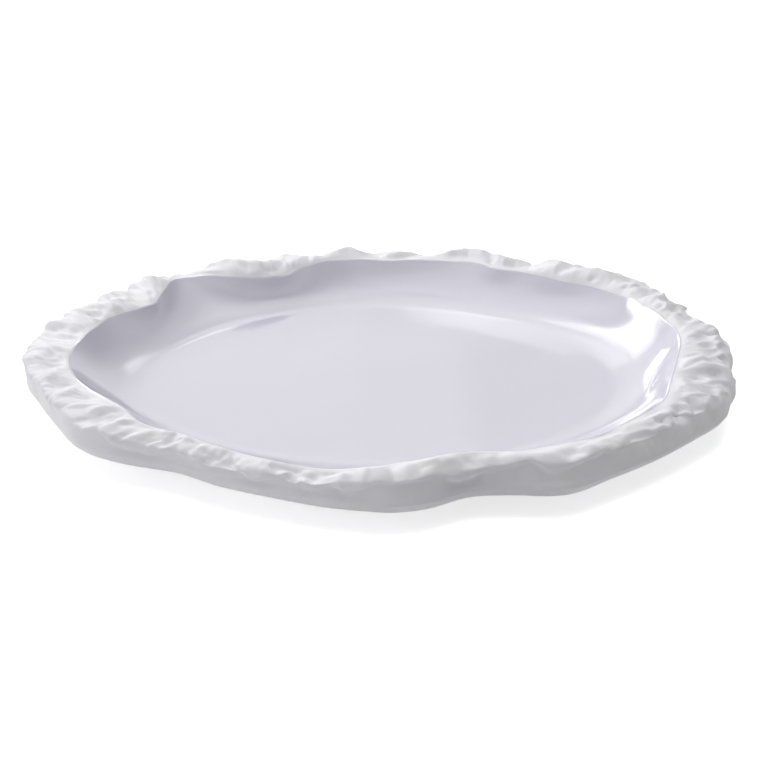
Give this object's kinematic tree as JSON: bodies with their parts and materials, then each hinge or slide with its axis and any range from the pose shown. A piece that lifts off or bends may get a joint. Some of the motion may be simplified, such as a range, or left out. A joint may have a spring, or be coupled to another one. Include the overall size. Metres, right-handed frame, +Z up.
{
  "type": "plate",
  "caption": "Round ceramic plate with an irregular outline, a glossy glazed well and a chunky matte rim torn like broken rock, standing on a dry ring foot.",
  "frame": {"origin": "middle of the bounding box on the plane that the foot ring stands on", "axes": "+X along the longest extent, toward the widest part of the rim; +Y toward the back; +Z up out of the well"},
  "size_m": [0.2834, 0.2704, 0.0299],
  "materials": {
    "matte_stoneware": "matte white",
    "gloss_glaze": "gloss white",
    "dry_foot": "dry unglazed"
  },
  "bodies": {
    "root": {"dish": "matte_stoneware", "rock_rim": "matte_stoneware", "well_glaze": "gloss_glaze", "foot_ring": "dry_foot"}
  },
  "joints": []
}
